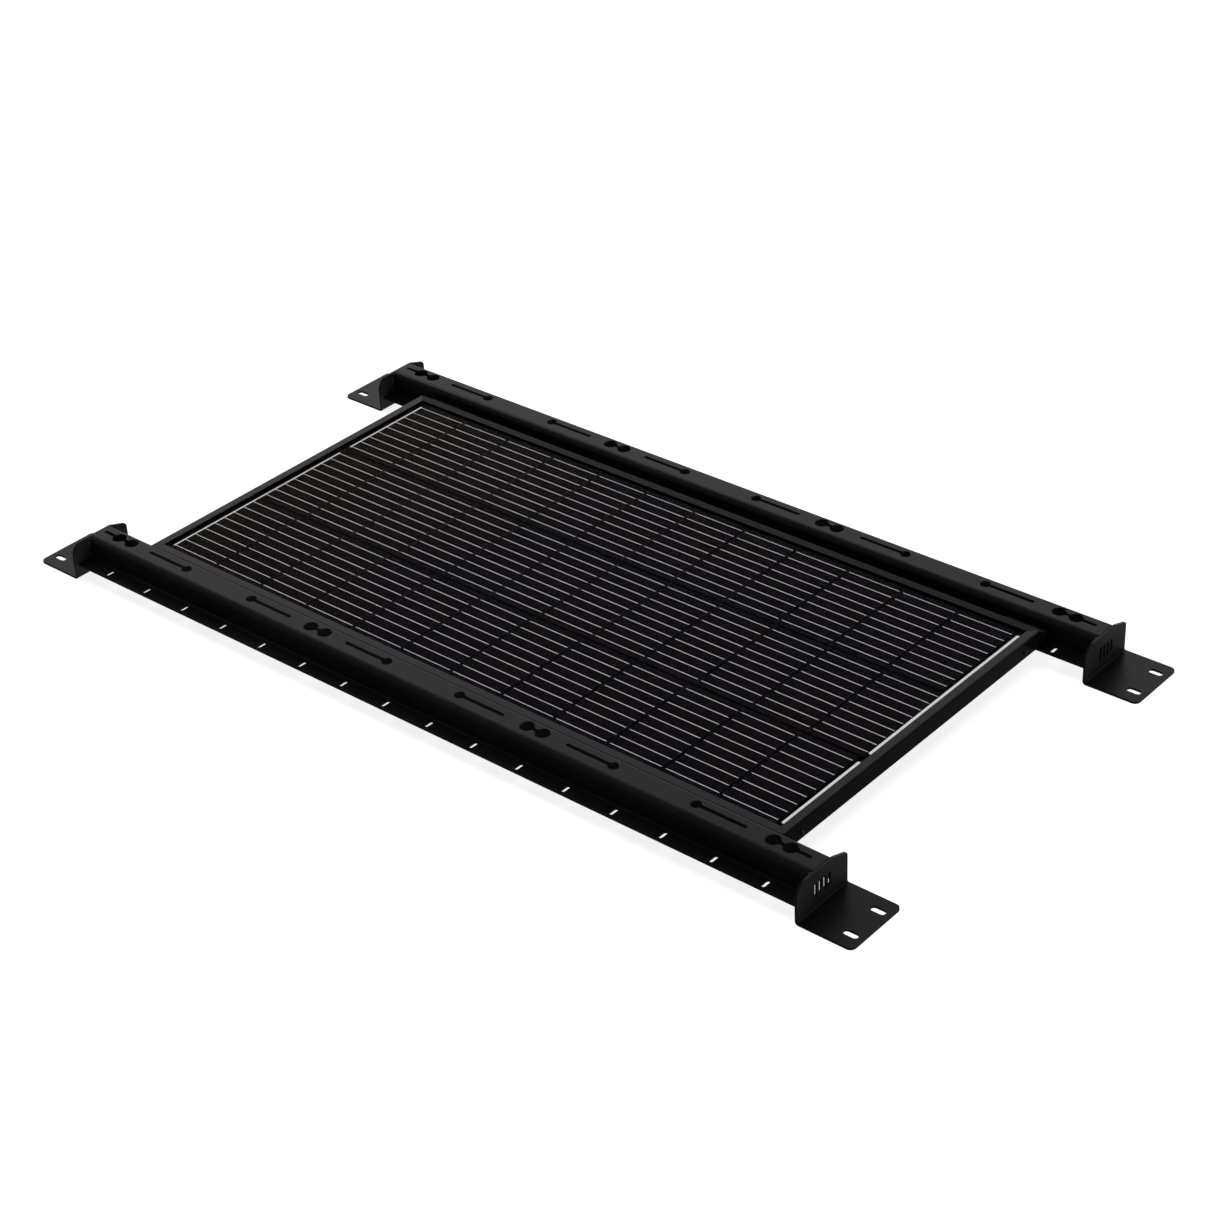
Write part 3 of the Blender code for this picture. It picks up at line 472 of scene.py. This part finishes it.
def make_cells(which):
    """Make one string's half cells, with small chamfers on all their corners."""
    low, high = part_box("cell_string_" + which)
    mesh = bmesh.new()
    for left, right in cell_spans(low, high):
        inner_left = left + CELL_CHAMFER
        inner_right = right - CELL_CHAMFER
        inner_low = low.y + CELL_CHAMFER
        inner_high = high.y - CELL_CHAMFER
        outline = [(inner_left, low.y), (inner_right, low.y), (right, inner_low),
                   (right, inner_high), (inner_right, high.y), (inner_left, high.y),
                   (left, inner_high), (left, inner_low)]
        add_slab(mesh, outline, low.z + CELL_REAR_GAP, high.z)
    piece = add_piece("half_cells_" + which, mesh, "silicon_cell")
    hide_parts("cell_string_" + which)


def make_wires(which):
    """Make the half-round wires that run over one string's cells."""
    low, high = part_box("cell_string_" + which)
    middle = (low.y + high.y) / 2
    ribbon_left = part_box("bus_ribbon_left_far")[1].x
    mesh = bmesh.new()
    spans = cell_spans(low, high)
    for number, (left, right) in enumerate(spans):
        start = left + WIRE_SETBACK
        end = right - WIRE_SETBACK
        if number == 0:
            start = ribbon_left - WIRE_OVER_RIBBON
        for index in range(WIRE_COUNT):
            centre = middle + (index - (WIRE_COUNT - 1) / 2) * WIRE_PITCH
            section = []
            for step in range(WIRE_STEPS + 1):
                angle = math.pi * step / WIRE_STEPS
                section.append((centre - WIRE_WIDTH / 2 * math.cos(angle),
                                high.z + WIRE_CLEARANCE + WIRE_HEIGHT * math.sin(angle)))
            rings = [[mesh.verts.new((x, y, z)) for y, z in section] for x in (start, end)]
            mesh.faces.new(rings[0])
            mesh.faces.new(rings[1])
            for step in range(len(section)):
                after = (step + 1) % len(section)
                mesh.faces.new((rings[0][step], rings[0][after], rings[1][after],
                                rings[1][step]))
    add_piece("wires_" + which, mesh, "tinned_copper")


for which in ("near", "middle", "far"):
    make_cells(which)
    make_wires(which)


def add_bead(mesh, centre, size, turn):
    """Add one small squashed ball as a weld tack."""
    ball = bmesh.ops.create_icosphere(mesh, subdivisions=2, radius=1.0)
    for vert in ball["verts"]:
        wobble = 1.0 + 0.10 * math.sin(7.0 * vert.co.x + turn) * math.cos(5.0 * vert.co.y)
        vert.co = Vector(centre) + Vector((vert.co.x * size[0], vert.co.y * size[1],
                                           vert.co.z * size[2])) * wobble


def make_welds(row, end):
    """Make the tacks where a rail's end meets its plate."""
    rail_low, rail_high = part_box("rail_" + row)
    side = 1 if end == "right" else -1
    face = rail_high.x if side > 0 else rail_low.x
    wall = (rail_low.y + rail_high.y) / 2 - WELD_WALL_OFFSET
    along = face - side * WELD_INSET
    mesh = bmesh.new()
    for number, (across, drop) in enumerate(WELD_SPOTS):
        centre = (along, wall + across, rail_high.z - drop)
        add_bead(mesh, centre, WELD_SIZE, number + side)
    piece = add_piece("weld_tacks_" + row + "_" + end, mesh, "black_powder_coat", smooth=True)
    dress(piece, weld_surface)


weld_surface = weld_coat()
for row in ("near", "far"):
    for end in ("left", "right"):
        make_welds(row, end)


# ---------------------------------------------------------------- floor, light, camera

floor_mesh = bmesh.new()
bmesh.ops.create_grid(floor_mesh, x_segments=1, y_segments=1, size=FLOOR_HALF_SIZE)
floor_data = bpy.data.meshes.new("floor")
floor_mesh.to_mesh(floor_data)
floor_mesh.free()
floor = bpy.data.objects.new("floor", floor_data)
floor_data.materials.append(floor_surface())
scene.collection.objects.link(floor)
floor.visible_glossy = False


def sun(name, strength, width, tilt):
    """Add a broad, soft sun; tilt turns it about X and then Z, in degrees."""
    data = bpy.data.lights.new(name, "SUN")
    data.energy = strength
    data.angle = math.radians(width)
    lamp = bpy.data.objects.new(name, data)
    lamp.rotation_euler = [math.radians(angle) for angle in tilt]
    lamp.visible_glossy = False
    scene.collection.objects.link(lamp)


sun("top_light", 2.6, 60.0, (-12.0, -8.0, 0.0))

world = bpy.data.worlds.new("studio")
scene.world = world
world.use_nodes = True
tree = world.node_tree
tree.nodes.clear()
sky_output = tree.nodes.new("ShaderNodeOutputWorld")
direction = tree.nodes.new("ShaderNodeTexCoord")


def world_value(vector, facing, low, high, start, end):
    """Return a value that follows how far a direction leans towards facing."""
    lean = tree.nodes.new("ShaderNodeVectorMath")
    lean.operation = "DOT_PRODUCT"
    lean.inputs[1].default_value = facing
    tree.links.new(vector, lean.inputs[0])
    spread = tree.nodes.new("ShaderNodeMapRange")
    spread.interpolation_type = "SMOOTHSTEP"
    spread.inputs["From Min"].default_value = low
    spread.inputs["From Max"].default_value = high
    spread.inputs["To Min"].default_value = start
    spread.inputs["To Max"].default_value = end
    tree.links.new(lean.outputs["Value"], spread.inputs["Value"])
    return spread.outputs["Result"]


def world_math(operation, first, second):
    """Combine two world values, either of which may be a number."""
    node = tree.nodes.new("ShaderNodeMath")
    node.operation = operation
    for socket, value in zip(node.inputs, (first, second)):
        if isinstance(value, (int, float)):
            socket.default_value = value
        else:
            tree.links.new(value, socket)
    return node.outputs["Value"]


toward = direction.outputs["Generated"]
behind = world_value(toward, (-0.70, 0.71, 0.0), 0.15, 0.85, 0.0, 1.0)
low_band = world_value(toward, (0.0, 0.0, 1.0), 0.42, 0.72, 1.0, 0.06)
above = world_value(toward, (0.0, 0.0, 1.0), -0.05, 0.10, 0.0, 1.0)
glow = world_math("MULTIPLY", world_math("MULTIPLY", behind, low_band), 0.88)
level = world_math("ADD", world_math("ADD", glow, world_math("MULTIPLY", above, 0.06)), 0.02)
rays = tree.nodes.new("ShaderNodeLightPath")
shown = tree.nodes.new("ShaderNodeMix")
shown.data_type = "FLOAT"
tree.links.new(rays.outputs["Is Camera Ray"], shown.inputs[0])
tree.links.new(level, shown.inputs[2])
shown.inputs[3].default_value = 1.0
background = tree.nodes.new("ShaderNodeBackground")
tree.links.new(shown.outputs[0], background.inputs["Strength"])
tree.links.new(background.outputs["Background"], sky_output.inputs["Surface"])

camera_data = bpy.data.cameras.new("camera")
camera_data.sensor_width = 36.0
camera_data.lens = 80.2
camera_data.clip_end = 60.0
camera = bpy.data.objects.new("camera", camera_data)
camera.location = (2.05158, -2.22811, 1.92358)
camera.rotation_euler = [math.radians(angle) for angle in (57.6608, 2.5053, 40.3973)]
scene.collection.objects.link(camera)
scene.camera = camera
scene.view_settings.view_transform = "Standard"
